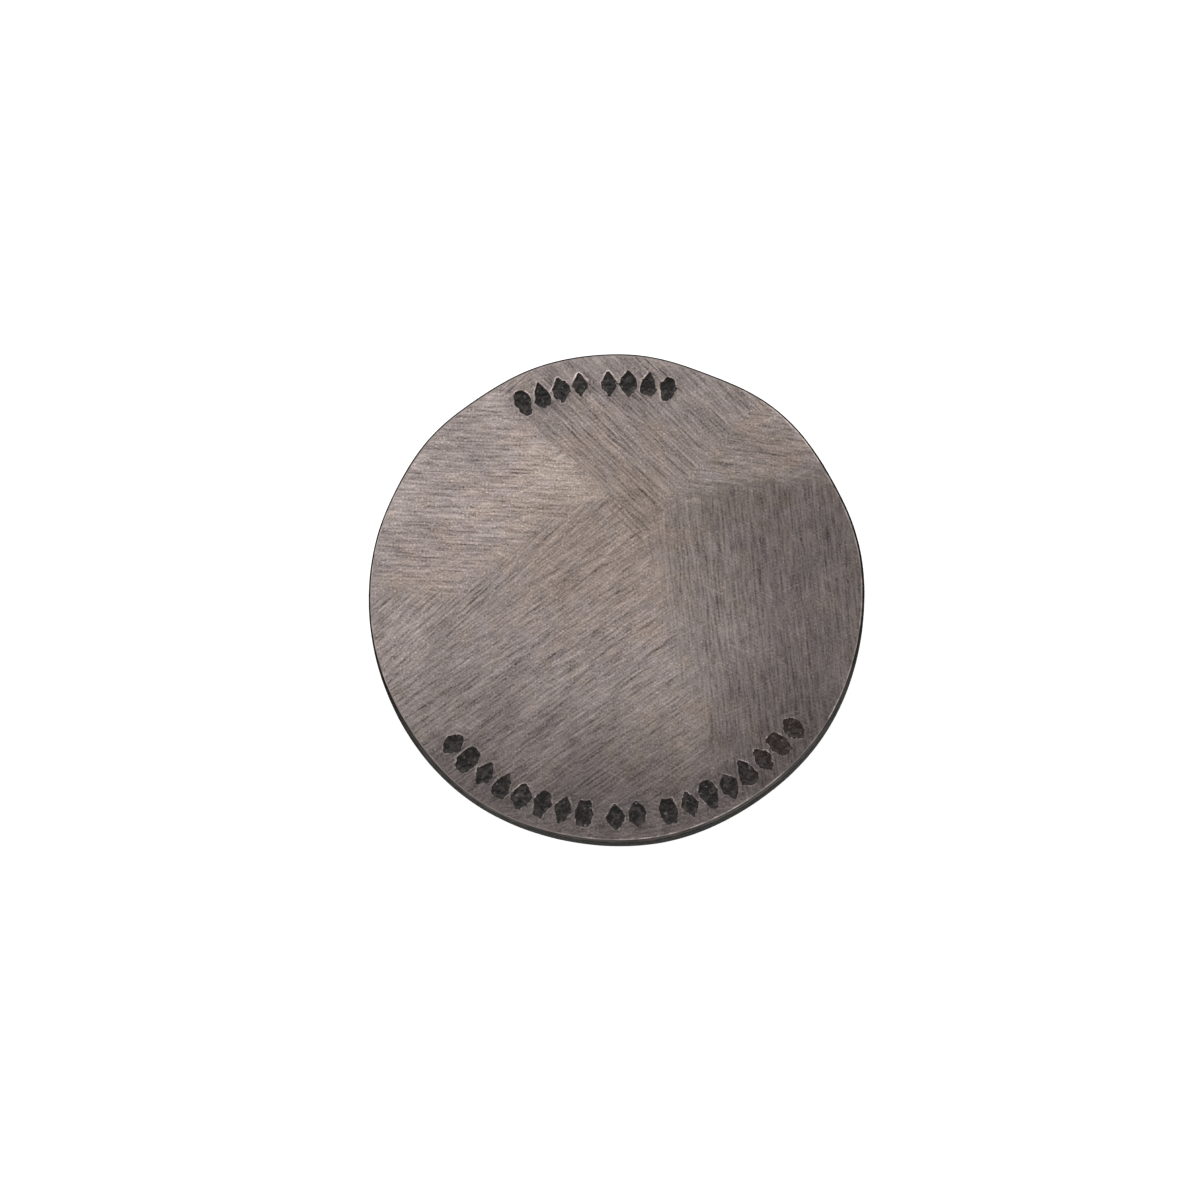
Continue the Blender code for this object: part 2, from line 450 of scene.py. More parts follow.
def make_disc(materials):
    """The disc with its face, edge, underside and recesses, as one closed mesh."""
    points, loops = face_points()
    triangles = face_triangles(points, loops)
    mark_gap = distance_to_marks(points)
    rim_gap = distance_to_outline(points, rim_points(edge_round(RIM_TURN)))
    heights = ground_height(points) + lip(points, mark_gap)
    bm = bmesh.new()
    gaps = {"mark_gap": mark_gap, "rim_gap": rim_gap}
    for name in gaps:
        bm.verts.layers.float.new(name)
    vertices = add_loop(bm, points, heights)
    for name, gap in gaps.items():
        layer = bm.verts.layers.float[name]
        for vertex, value in zip(vertices, gap, strict=True):
            vertex[layer] = value
    for triangle in triangles:
        face = bm.faces.new([vertices[i] for i in triangle])
        face.material_index = FACE_SLOT
        face.smooth = True
    add_underside(bm, add_edge_wall(bm, vertices[: loops[0][1]]))
    for first, last in loops[1:]:
        add_recess(bm, vertices[first:last])
    loose = [v for v in bm.verts if not v.link_faces]
    bmesh.ops.delete(bm, geom=loose, context="VERTS")
    piece = finished("brushed_disc", bm, materials)
    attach(piece, "root")
    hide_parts(DISC)


# --- The black filling --------------------------------------------------------------------------


def make_fill(infill, material):
    """One recess's filling: sunk in the middle, lumpy, and drawn up at its edge."""
    outline = MARKS[infill]
    middle = outline.mean(axis=0)
    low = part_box(infill)[0].z / MM
    bm = bmesh.new()
    rings = []
    for share in FILL_STEPS:
        ring = middle + (outline - middle) * share
        inward = min(1, (1 - share) / FILL_SLOPE)
        sunk = FILL_EDGE_DEPTH + (FILL_MIDDLE_DEPTH - FILL_EDGE_DEPTH) * inward
        lumps = FILL_LUMPS * waves(ring, FILL_WAVES) * (share < 1)
        rings.append(add_loop(bm, ring, ground_height(ring) - sunk + lumps))
    for outer, inner in zip(rings, rings[1:], strict=False):
        bridge(bm, inner, outer, 0)
    top = bm.verts.new((*middle, ground_height(middle[None, :])[0] - FILL_MIDDLE_DEPTH))
    under_ring = middle + (outline - middle) * (1 - WALL_TAPER) * FILL_FOOT
    bottom = add_loop(bm, under_ring, np.full(len(outline), low))
    bridge(bm, rings[0], bottom, 0)
    base = bm.verts.new((*middle, low))
    inner = rings[-1]
    for i in range(len(outline)):
        j = (i + 1) % len(outline)
        bm.faces.new((inner[i], inner[j], top)).smooth = True
        bm.faces.new((bottom[j], bottom[i], base))
    piece = finished(infill.replace("_infill_", "_fill_"), bm, [material])
    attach(piece, "root")
    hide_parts(infill)


# --- Materials ----------------------------------------------------------------------------------


# A Mix node keeps sockets for each kind of value: the numbers of the kind's first input and its output
MIX_SOCKETS = {"FLOAT": (2, 0), "VECTOR": (4, 1), "RGBA": (6, 2)}
SHIFT_SIDEWAYS = -0.7


class Paint:
    """One material's nodes. Any value given to a call may be a number or another node's output."""

    def __init__(self, name):
        self.material = bpy.data.materials.new(name)
        self.material.use_nodes = True
        self.tree = self.material.node_tree
        self.shader = self.tree.nodes["Principled BSDF"]

    def feed(self, socket, value):
        """A number or another node's output into a socket; None leaves the socket alone."""
        if isinstance(value, bpy.types.NodeSocket):
            self.tree.links.new(value, socket)
        elif value is not None:
            socket.default_value = value

    def set(self, name, value):
        self.feed(self.shader.inputs[name], value)

    def math(self, operation, *values):
        node = self.tree.nodes.new("ShaderNodeMath")
        node.operation = operation
        for socket, value in zip(node.inputs, values, strict=False):
            self.feed(socket, value)
        return node.outputs[0]

    def vector(self, operation, *values):
        node = self.tree.nodes.new("ShaderNodeVectorMath")
        node.operation = operation
        for socket, value in zip(node.inputs, values, strict=False):
            self.feed(socket, value)
        return node.outputs["Value" if operation in ("DOT_PRODUCT", "LENGTH") else "Vector"]

    def number(self, name):
        """A number stored on the mesh's points."""
        node = self.tree.nodes.new("ShaderNodeAttribute")
        node.attribute_name = name
        return node.outputs["Fac"]

    def place(self):
        """The place on the object, in mm."""
        coordinates = self.tree.nodes.new("ShaderNodeTexCoord")
        return self.scaled(coordinates.outputs["Object"], 1 / MM)

    def stretch(self, place, turn, length, width, shift=0.0):
        """Coordinates along a stroke (one unit per length) and across it. shift tells layers apart."""
        node = self.tree.nodes.new("ShaderNodeMapping")
        node.vector_type = "TEXTURE"
        self.feed(node.inputs["Vector"], place)
        node.inputs["Location"].default_value = (shift, SHIFT_SIDEWAYS * shift, 0)
        node.inputs["Rotation"].default_value = (0, 0, math.radians(turn))
        node.inputs["Scale"].default_value = (length, width, 1)
        return node.outputs["Vector"]

    def noise(self, place, size=1.0, detail=2.0, roughness=0.5, shape="3D", output="Fac"):
        """Soft noise about 0.5, with bumps about size mm across."""
        node = self.tree.nodes.new("ShaderNodeTexNoise")
        node.noise_dimensions = shape
        self.feed(node.inputs["Vector"], place)
        node.inputs["Scale"].default_value = 1 / size
        node.inputs["Detail"].default_value = detail
        node.inputs["Roughness"].default_value = roughness
        return node.outputs[output]

    def uneven(self, noise, amount):
        """Noise as a number about 0, from minus to plus half of amount."""
        return self.math("MULTIPLY_ADD", noise, amount, -amount / 2)

    def depth(self, place, point, direction):
        """The distance past a line through a point (mm), in a direction (degrees)."""
        way = (math.cos(math.radians(direction)), math.sin(math.radians(direction)), 0)
        past = self.vector("DOT_PRODUCT", place, way)
        return self.math("SUBTRACT", past, way[0] * point[0] + way[1] * point[1])

    def ramp(self, value, low, high, start=0.0, end=1.0):
        """start where value is low, end where it is high, and smooth between."""
        node = self.tree.nodes.new("ShaderNodeMapRange")
        node.interpolation_type = "SMOOTHSTEP"
        self.feed(node.inputs["Value"], value)
        self.feed(node.inputs["From Min"], low)
        self.feed(node.inputs["From Max"], high)
        node.inputs["To Min"].default_value = start
        node.inputs["To Max"].default_value = end
        return node.outputs["Result"]

    def mix(self, share, a, b, kind="FLOAT"):
        """a where share is 0 and b where it is 1."""
        node = self.tree.nodes.new("ShaderNodeMix")
        node.data_type = kind
        first, output = MIX_SOCKETS[kind]
        self.feed(node.inputs[0], share)
        self.feed(node.inputs[first], a)
        self.feed(node.inputs[first + 1], b)
        return node.outputs[output]

    def scaled(self, colour, factor):
        """A colour or a direction times a number."""
        node = self.tree.nodes.new("ShaderNodeVectorMath")
        node.operation = "SCALE"
        self.feed(node.inputs[0], colour)
        self.feed(node.inputs["Scale"], factor)
        return node.outputs["Vector"]

    def bump(self, height, depth):
        """Relief on the surface: the height of a value of 1, in mm."""
        node = self.tree.nodes.new("ShaderNodeBump")
        node.inputs["Distance"].default_value = depth * MM
        self.feed(node.inputs["Height"], height)
        self.feed(self.shader.inputs["Normal"], node.outputs["Normal"])


# The brushed zones of the face. Each: the strokes' angle, their length, how much they waver, how
# strongly they and the long dark scratches show, how light the steel is painted where LIGHT_FADE
# starts and where it ends (painted shade and painted reflection of the light along the strokes), and
# how soft the zone's border is. Its edges are lines, each through a point (mm) with the direction
# (degrees) that leads into the zone. A later zone lies over the ones before it.
LEFT_PEAK = (-1.45, 5.15)
RIGHT_PEAK = (1.5, 3.5)
UPPER_SIDE = (-2.5, 7.2)
TOP_CORNER = (3.4, 5.4)
LIGHT_FADE = (0.4, 7.0)  # distances from a zone's first edge
ZONES = {
    "lower": dict(
        turn=35,
        length=1.8,
        waver=0.04,
        show=1.0,
        scratches=0.10,
        light=(1.12, 1.12),
        soft=0.5,
        edges=(),
    ),
    "lower_top": dict(
        turn=42,
        length=1.8,
        waver=0.04,
        show=1.05,
        scratches=0.15,
        light=(1.12, 1.12),
        soft=0.6,
        edges=(((-2.9, 2.1), 126),),
    ),
    "left": dict(
        turn=-3,
        length=1.9,
        waver=0.08,
        show=0.95,
        scratches=0.10,
        light=(1.32, 1.32),
        soft=0.7,
        edges=((LEFT_PEAK, 126), ((-9.0, 0.2), 92), (UPPER_SIDE, 224)),
    ),
    "right": dict(
        turn=96,
        length=1.8,
        waver=0.04,
        show=1.08,
        scratches=0.07,
        light=(1.30, 0.80),
        soft=1.1,
        edges=((RIGHT_PEAK, 17), (RIGHT_PEAK, -44), (TOP_CORNER, -81)),
    ),
    "upper": dict(
        turn=135,
        length=2.2,
        waver=0.05,
        show=0.95,
        scratches=0.16,
        light=(1.12, 1.14),
        soft=0.3,
        edges=((UPPER_SIDE, 44), (TOP_CORNER, 133.5), ((-4.4, 10.0), 8)),
    ),
    "upper_right": dict(
        turn=172,
        length=1.5,
        waver=0.08,
        show=0.9,
        scratches=0.06,
        light=(1.0, 0.88),
        soft=0.9,
        edges=((TOP_CORNER, -40), (TOP_CORNER, 99)),
    ),
    "bottom_rim": dict(
        turn=9,
        length=0.8,
        waver=0.1,
        show=0.8,
        scratches=0.05,
        light=(1.12, 1.12),
        soft=0.4,
        edges=(((0, -10.6), -90),),
    ),
}
BACK = dict(turn=12, length=2.4, waver=0.15, show=1.0, scratches=0.1)

# What a zone's strokes are summed from: share, and length and width against the zone's own
STROKE_WIDTH = 0.13
STROKE_PARTS = ((0.38, 0.4, 1.0), (0.42, 1.3, 0.9), (0.16, 3.5, 1.4), (0.13, 2.5, 6.0))
STROKE_CONTRAST = 2.3
STROKE_DEPTH = 0.005
SCRATCH_LENGTH = 5.0
SCRATCH_WIDTH = 0.12
SCRATCH_FROM = (0.60, 0.72)  # the noise values between which a scratch sets in
GRAIN_SIZE = 0.10
GRAIN_SHARE = 0.45
BORDER_RAGGED = (14, 0.2, 2.4)  # length and width of the strokes that cross a border, and how far
LOW_SHADE = ((0, -4.0), -90)  # painted shade: the face darkens past this line, towards the bottom

# A fade holds where a ramp starts and ends, in mm or as a noise's value, and then, where they aren't
# 0 and 1, what it gives at either end
LOW_SHADE_FADE = (0, 6.5, 1, 0.52)
PATCH_EDGE = 1.4  # where a patch ends, against its radius
SPECK_SIZE = 0.10
SPECK_FADE = (0.72, 0.79, 0, 0.6)
HAIR_SIZE = (2.6, 0.07)
HAIR_TURNS = (24, 152)
HAIR_FADE = (0.69, 0.77, 0, 0.22)

# Soft-edged patches of painted shade and painted reflection, with some of the steel's own uneven tone.
# The light and dark ones: place (mm), radius, how light
TONE_AND_SHADE_PATCHES = (
    ((-3.4, 7.4), 2.2, 1.12),
    ((-0.8, 4.4), 1.6, 0.95),
    ((7.9, 5.0), 1.8, 1.10),
    ((-7.8, 1.8), 1.4, 0.94),
    ((-7.0, 3.9), 2.0, 1.06),
    ((-4.8, 2.0), 1.2, 1.07),
    ((-8.2, 0.5), 1.5, 1.12),
    ((-11.2, -2.2), 2.0, 1.22),
    ((-11.6, 2.2), 2.4, 0.82),
    ((-8.5, -3.6), 1.8, 0.92),
    ((6.2, -7.4), 1.8, 0.92),
    ((-7.3, 7.4), 2.2, 0.84),
    ((-5.4, -5.8), 2.4, 0.82),
    ((-9.2, -5.6), 2.0, 0.85),
    ((-2.0, -7.0), 1.6, 0.90),
    ((-4.3, -8.7), 1.8, 1.20),
    ((3.2, -8.4), 2.2, 1.08),
    ((6.6, -5.2), 2.8, 0.82),
    ((9.2, -5.2), 2.2, 0.78),
    ((10.2, -1.0), 2.0, 1.10),
    ((0.6, -2.0), 2.4, 1.05),
    ((4.3, -1.0), 1.2, 0.94),
    ((-4.8, -3.2), 1.6, 1.06),
    ((7.8, 7.0), 2.0, 0.86),
    ((5.4, 8.4), 1.6, 0.91),
    ((10.4, 6.0), 1.6, 1.10),
    ((4.6, 4.6), 1.6, 0.92),
    ((3.4, 6.2), 1.6, 1.06),
    ((-0.5, 9.0), 1.8, 1.08),
)
PATCH_WANDER = 2.4  # how far the noise pushes a patch's border
WANDER_SCALE = 0.45
# The tan ones: place, distance at which tan starts to turn to mauve and at which it has, share of
# mauve in the middle
TAN_SPOTS = (
    ((-1.0, 3.5), 2.0, 9.0, 0.0),
    ((-9.0, 1.3), 0.5, 4.5, 0.4),
    ((7.6, 7.6), 0.5, 5.0, 0.3),
    ((2.5, -7.0), 0.5, 4.5, 0.4),
)
TAN = (0.341, 0.277, 0.243, 1)
MAUVE = (0.327, 0.278, 0.266, 1)
TINT_MOTTLE = 2.5
LIGHT_MOTTLE = 0.36
SOOT_FADE = (0.0, 0.55, 0.84, 1.0)  # the steel is smudged dark this near to a mark
SOOT_UNEVEN = 1.6
LIP_HIGHLIGHT_FADE = (0.46, 0.62, 1.05, 2.2)  # painted highlight: how much brighter a mark's lip is, with the noise along it
LIP_HIGHLIGHT_MOST = 1.9
LIP_FADE = (0.03, 0.11)
INK_FADE = (-0.01, 0.03)
INK_TONE = 0.10
BROKEN = 0.3  # how uneven the borders round the marks are
RIM_HIGHLIGHT_DASHES = (0.35, 0.7)
RIM_HIGHLIGHT = 1.5  # painted highlight, added to RIM_BAND_TONE where it is at full strength
RIM_BAND_TONE = 0.95
RIM_FADE = (0.02, 0.09)
RIM_UNEVEN = 0.3  # share of that unevenness at the rim
FACE_ROUGHNESS = 0.38
FACE_SMOOTHER = -0.3  # a light stroke is smoother by so much
ACROSS_STROKES = 0.75  # anisotropy
# Where the face has a painted highlight on the burr along its rim: past either line, at full strength
# so far past it
RIM_HIGHLIGHT_SIDES = ((((-2.0, 0), -22), 9.0), (((-7.0, 1.0), 178), 9.0))
GREY_EDGE_SIDE = ((0, -3.0), -85)  # past this line, towards the bottom, the rounded edge is grey
GREY_EDGE_SIDE_FADE = (0.0, 8.0)
GREY_EDGE_FADE = (-0.10, -0.02)  # below the face's edge
WARM_SIDE = ((6.6, -7.6), 0)  # past this line the black filling is brownish
WARM_FADE = (-1.0, 1.0)

SCALE_BLACK = (0.014, 0.014, 0.013, 1)
SCALE_BROWN = (0.028, 0.025, 0.021, 1)
EDGE_GREY = (0.10, 0.092, 0.087, 1)
WALL_GLOSS = (0.2, 0.19, 0.18, 1)
FILE_STRETCH = (0.55, 0.55, 9.0)
BLOTCH_FADE = (0.4, 0.62)
BLOTCH_UNEVEN = 0.12
WALL_TONE_FADE = (0.3, 0.7, 0.7, 1.35)
WALL_ROUGHNESS_FADE = (0.3, 0.7, 0.42, 0.62)
FILE_BUMP = 0.02
BACK_DARK = (0.17, 0.145, 0.135, 1)
BACK_LIGHT = (0.26, 0.222, 0.205, 1)
BACK_FADE = (0.35, 0.65)
BACK_CONTRAST = 2.0
BACK_ROUGHNESS = 0.4
BACK_SMOOTHER = -0.5
BACK_BUMP = 0.012
RECESS_BLACK = (0.01, 0.01, 0.01, 1)
RECESS_BARE = (0.2, 0.17, 0.16, 1)
STAIN_EDGE = (0.08, -0.045)  # how uneven the stain's upper edge is, and how far it is moved, in mm
STAIN_FADE = (-0.02, 0.01)
STAIN_ROUGHNESS_FADE = (0.3, 0.7, 0.4, 0.6)
STAIN_BUMP = 0.01
FILL_BLACK = (0.008, 0.006, 0.005, 1)
FILL_BROWN = (0.020, 0.009, 0.007, 1)
FILL_GREY_AND_SHEEN = (0.052, 0.042, 0.038, 1)
FILL_GLINT_SPECK = (0.19, 0.175, 0.17, 1)
WARM_UNEVEN = 5.0
GREY_AND_SHEEN_FADE = (0.46, 0.68)
FILL_GLINT_SPECK_FADE = (0.63, 0.78, 0.0, 0.8)
FILL_ROUGHNESS_FADE = (0.3, 0.7, 0.2, 0.42)
FILL_BUMP = 0.05
PAPER = (0.9, 0.9, 0.9)
PAPER_GRAIN_FADE = (0.3, 0.7, 0.995, 1.0)
PAPER_GLOW = 0.75


def across(zone):
    """The direction across a zone's strokes."""
    turn = math.radians(zone["turn"] + 90)
    return (math.cos(turn), math.sin(turn), 0)


def zone_strokes(paint, place, zone, shift):
    """The strokes of one zone, about 0."""
    slow = paint.noise(place, 1.1, 1.0, 0.5, "2D")
    bend = paint.uneven(slow, zone["waver"])
    bent = paint.vector("ADD", place, paint.scaled(across(zone), bend))
    total = 0.0
    for number, (share, longer, wider) in enumerate(STROKE_PARTS):
        length = zone["length"] * longer
        coordinates = paint.stretch(
            bent, zone["turn"], length, STROKE_WIDTH * wider, shift + 3.7 * number
        )
        layer = paint.noise(coordinates, 1.0, 1.0, 0.5, "2D")
        total = paint.math("MULTIPLY_ADD", layer, share, total)
    middle = sum(share for share, _, _ in STROKE_PARTS) / 2
    strokes = paint.math("MULTIPLY", paint.math("SUBTRACT", total, middle), zone["show"])
    coordinates = paint.stretch(bent, zone["turn"], SCRATCH_LENGTH, SCRATCH_WIDTH, shift + 17)
    scratch = paint.ramp(paint.noise(coordinates, 1.0, 1.0, 0.5, "2D"), *SCRATCH_FROM)
    return paint.math("MULTIPLY_ADD", scratch, -zone["scratches"], strokes)


def zone_mask(paint, place, zone, shift):
    """1 inside a zone and 0 outside, with strokes that stop unevenly at its edges."""
    inside = None
    for point, direction in zone["edges"]:
        depth = paint.depth(place, point, direction)
        inside = depth if inside is None else paint.math("MINIMUM", inside, depth)
    length, width, reach = BORDER_RAGGED
    coordinates = paint.stretch(place, zone["turn"], length, width, shift)
    ends = paint.noise(coordinates, 1.0, 2.0, 0.6, "2D")
    ragged = paint.math("ADD", inside, paint.uneven(ends, reach))
    return paint.ramp(ragged, -zone["soft"], zone["soft"])


def zone_light(paint, place, zone):
    """How light a zone is painted, as painted shade and painted reflection: where its two values
    differ, it fades inwards from its first edge.
    """
    near, far = zone["light"]
    if near == far:
        return near
    return paint.ramp(paint.depth(place, *zone["edges"][0]), *LIGHT_FADE, near, far)


def wandering(paint, place, reach):
    """The place, pushed about by noise, for borders that aren't geometric."""
    noise = paint.noise(place, 1 / WANDER_SCALE, 3.0, 0.5, "2D", "Color")
    push = paint.vector("SUBTRACT", noise, (0.5, 0.5, 0.5))
    return paint.vector("ADD", place, paint.scaled(push, reach))


def distance_to(paint, place, spot):
    """The distance to a spot on the face, whatever the height."""
    flat = paint.vector("MULTIPLY", place, (1, 1, 0))
    return paint.vector("LENGTH", paint.vector("SUBTRACT", flat, (*spot, 0)))


def patch_tone_and_shade(paint, place):
    """The product of the light and dark patches: painted shade and painted reflection, with some of
    the steel's own uneven tone.
    """
    light = 1.0
    for spot, radius, strength in TONE_AND_SHADE_PATCHES:
        away = distance_to(paint, place, spot)
        own = paint.ramp(away, 0, PATCH_EDGE * radius, strength, 1)
        light = paint.math("MULTIPLY", light, own)
    return light


def mauve_share(paint, place):
    """0 where the steel has a tan cast, 1 where it is mauve grey."""
    share = 1.0
    for spot, near, far, middle in TAN_SPOTS:
        own = paint.ramp(distance_to(paint, place, spot), near, far, middle, 1)
        share = paint.math("MINIMUM", share, own)
    return share


def fine_marks(paint, place):
    """Bright specks and hairline scratches, as light to add."""
    marks = paint.ramp(paint.noise(place, SPECK_SIZE, 1.0, 0.5, "2D"), *SPECK_FADE)
    for number, turn in enumerate(HAIR_TURNS):
        coordinates = paint.stretch(place, turn, *HAIR_SIZE, 40 + number)
        hair = paint.noise(coordinates, 1.0, 0.0, 0.5, "2D")
        marks = paint.math("ADD", marks, paint.ramp(hair, *HAIR_FADE))
    return marks


def zone_layers(paint, place):
    """The strokes, the direction across them and the painted light and shade of every zone, one over
    another.
    """
    strokes = None
    for number, zone in enumerate(ZONES.values()):
        own = zone_strokes(paint, place, zone, 5.3 * number)
        if strokes is None:
            strokes, tangent, light = own, across(zone), zone_light(paint, place, zone)
            continue
        mask = zone_mask(paint, place, zone, 2.9 * number)
        strokes = paint.mix(mask, strokes, own)
        tangent = paint.mix(mask, tangent, across(zone), "VECTOR")
        light = paint.mix(mask, light, zone_light(paint, place, zone))
    grain = paint.math("SUBTRACT", paint.noise(place, GRAIN_SIZE, 1.0, 0.5, "2D"), 0.5)
    return paint.math("MULTIPLY_ADD", grain, GRAIN_SHARE, strokes), tangent, light


def round_marks(paint, place, tone, cloud, broken):
    """The tone with soot, a painted highlight on a broken lip and bled ink round every mark."""
    mark_gap = paint.number("mark_gap")
    soot = paint.math("MULTIPLY_ADD", cloud, SOOT_UNEVEN, mark_gap)
    tone = paint.math("MULTIPLY", tone, paint.ramp(soot, *SOOT_FADE))
    gap = paint.math("ADD", mark_gap, broken)
    # painted highlight on the punch's lip round each mark
    lip_highlight = paint.ramp(paint.noise(place, 0.45, 2.0, 0.5), *LIP_HIGHLIGHT_FADE)
    lip_highlight = paint.math("MINIMUM", paint.math("MULTIPLY", tone, lip_highlight), LIP_HIGHLIGHT_MOST)
    tone = paint.mix(paint.ramp(gap, *LIP_FADE), lip_highlight, tone)
    return paint.mix(paint.ramp(gap, *INK_FADE), INK_TONE, tone)


def along_rim(paint, place, tone, broken):
    """The tone with a painted highlight on the burr along the rim, bright in dashes on some sides."""
    # painted highlight along the rim's burr, in dashes past the lines in RIM_HIGHLIGHT_SIDES
    dashes = paint.ramp(paint.noise(place, 0.9, 2.0, 0.6, "2D"), *RIM_HIGHLIGHT_DASHES)
    highlight_side = 0.0
    for line, full in RIM_HIGHLIGHT_SIDES:
        past = paint.ramp(paint.depth(place, *line), 0.0, full)
        highlight_side = paint.math("MAXIMUM", highlight_side, past)
    strength = paint.math("MULTIPLY", highlight_side, dashes)
    burr = paint.math("MULTIPLY_ADD", strength, RIM_HIGHLIGHT, RIM_BAND_TONE)
    rim_gap = paint.math("MULTIPLY_ADD", broken, RIM_UNEVEN, paint.number("rim_gap"))
    return paint.mix(paint.ramp(rim_gap, *RIM_FADE), burr, tone)


def brushed_face():
    """Steel brushed a zone at a time, its zones and soft patches lighter or darker as painted shade
    and painted reflection, with painted shade low down, soot round the marks, and painted highlights
    on the marks' lips and along its edges.
    """
    paint = Paint("brushed_face")
    place = paint.place()
    # painted shade and painted reflection: each zone's lightness
    strokes, tangent, light = zone_layers(paint, place)
    loose = wandering(paint, place, PATCH_WANDER)
    cloud = paint.math("SUBTRACT", paint.noise(place, 1.3, 3.0, 0.6, "2D"), 0.5)
    tint = paint.math("MULTIPLY_ADD", cloud, TINT_MOTTLE, mauve_share(paint, loose))
    colour = paint.mix(tint, TAN, MAUVE, "RGBA")
    # painted shade and painted reflection: the light and dark patches
    light = paint.math("MULTIPLY", light, patch_tone_and_shade(paint, loose))
    cloud = paint.math("SUBTRACT", paint.noise(loose, 1.0, 3.0, 0.6, "2D"), 0.5)
    light = paint.math("MULTIPLY", light, paint.math("MULTIPLY_ADD", cloud, LIGHT_MOTTLE, 1.0))
    # painted shade: darker towards the bottom
    stain_and_shade = paint.ramp(paint.depth(loose, *LOW_SHADE), *LOW_SHADE_FADE)
    light = paint.math("MULTIPLY", light, stain_and_shade)
    tone = paint.math("MULTIPLY_ADD", strokes, STROKE_CONTRAST, 1.0)
    tone = paint.math("ADD", tone, fine_marks(paint, place))
    tone = paint.math("MULTIPLY", tone, light)
    broken = paint.uneven(paint.noise(place, 0.25, 2.0, 0.5, "2D"), BROKEN)
    tone = round_marks(paint, place, tone, cloud, broken)
    tone = along_rim(paint, place, tone, broken)
    paint.set("Base Color", paint.scaled(colour, tone))
    paint.set("Metallic", 1.0)
    paint.set("Roughness", paint.math("MULTIPLY_ADD", strokes, FACE_SMOOTHER, FACE_ROUGHNESS))
    paint.set("Anisotropic", ACROSS_STROKES)
    paint.set("Tangent", tangent)
    paint.bump(strokes, STROKE_DEPTH)
    return paint.material


def filed_edge():
    """The disc's wall: black scale over file marks, with its rounded top edge grey towards the bottom.
    """
    paint = Paint("filed_edge")
    place = paint.place()
    rim_gap = paint.number("rim_gap")
    flat = paint.vector("MULTIPLY", place, FILE_STRETCH)
    marks = paint.noise(flat, 1.0, 3.0, 0.6)
    blotch = paint.noise(place, 0.8, 3.0, 0.6)
    colour = paint.mix(paint.ramp(blotch, *BLOTCH_FADE), SCALE_BLACK, SCALE_BROWN, "RGBA")
    # the rounded top edge turns grey towards the bottom
    grey_edge_reach = paint.math("ADD", rim_gap, paint.uneven(blotch, BLOTCH_UNEVEN))
    side = paint.ramp(paint.depth(place, *GREY_EDGE_SIDE), *GREY_EDGE_SIDE_FADE)
    lighter_share = paint.math("MULTIPLY", paint.ramp(grey_edge_reach, *GREY_EDGE_FADE), side)
    colour = paint.mix(lighter_share, colour, EDGE_GREY, "RGBA")
    tone = paint.ramp(marks, *WALL_TONE_FADE)
    paint.set("Base Color", paint.scaled(colour, tone))
    paint.set("Metallic", 0.8)
    paint.set("Specular Tint", WALL_GLOSS)
    paint.set("Specular IOR Level", 0.15)
    paint.set("Roughness", paint.ramp(marks, *WALL_ROUGHNESS_FADE))
    paint.bump(marks, FILE_BUMP)
    return paint.material


def brushed_underside():
    """The plain back: brushed one way and left dark."""
    paint = Paint("brushed_underside")
    place = paint.place()
    strokes = zone_strokes(paint, place, BACK, 31.0)
    cloud = paint.noise(place, 3.0, 3.0, 0.6, "2D")
    colour = paint.mix(paint.ramp(cloud, *BACK_FADE), BACK_DARK, BACK_LIGHT, "RGBA")
    tone = paint.math("MULTIPLY_ADD", strokes, BACK_CONTRAST, 1.0)
    paint.set("Base Color", paint.scaled(colour, tone))
    paint.set("Metallic", 1.0)
    paint.set("Roughness", paint.math("MULTIPLY_ADD", strokes, BACK_SMOOTHER, BACK_ROUGHNESS))
    paint.set("Anisotropic", 0.6)
    paint.set("Tangent", across(BACK))
    paint.bump(strokes, BACK_BUMP)
    return paint.material


def recess_wall():
    """The punched walls, bright at the burr and stained black below it."""
    paint = Paint("recess_wall")
    place = paint.place()
    depth = paint.number("mark_gap")
    stain_and_shade = paint.noise(place, 0.12, 2.0, 0.6)
    edge = paint.math("ADD", depth, paint.math("MULTIPLY_ADD", stain_and_shade, *STAIN_EDGE))
    lighter_share = paint.ramp(edge, *STAIN_FADE)
    paint.set("Base Color", paint.mix(lighter_share, RECESS_BLACK, RECESS_BARE, "RGBA"))
    paint.set("Metallic", 0.9)
    paint.set("Roughness", paint.ramp(stain_and_shade, *STAIN_ROUGHNESS_FADE))
    paint.bump(stain_and_shade, STAIN_BUMP)
    return paint.material


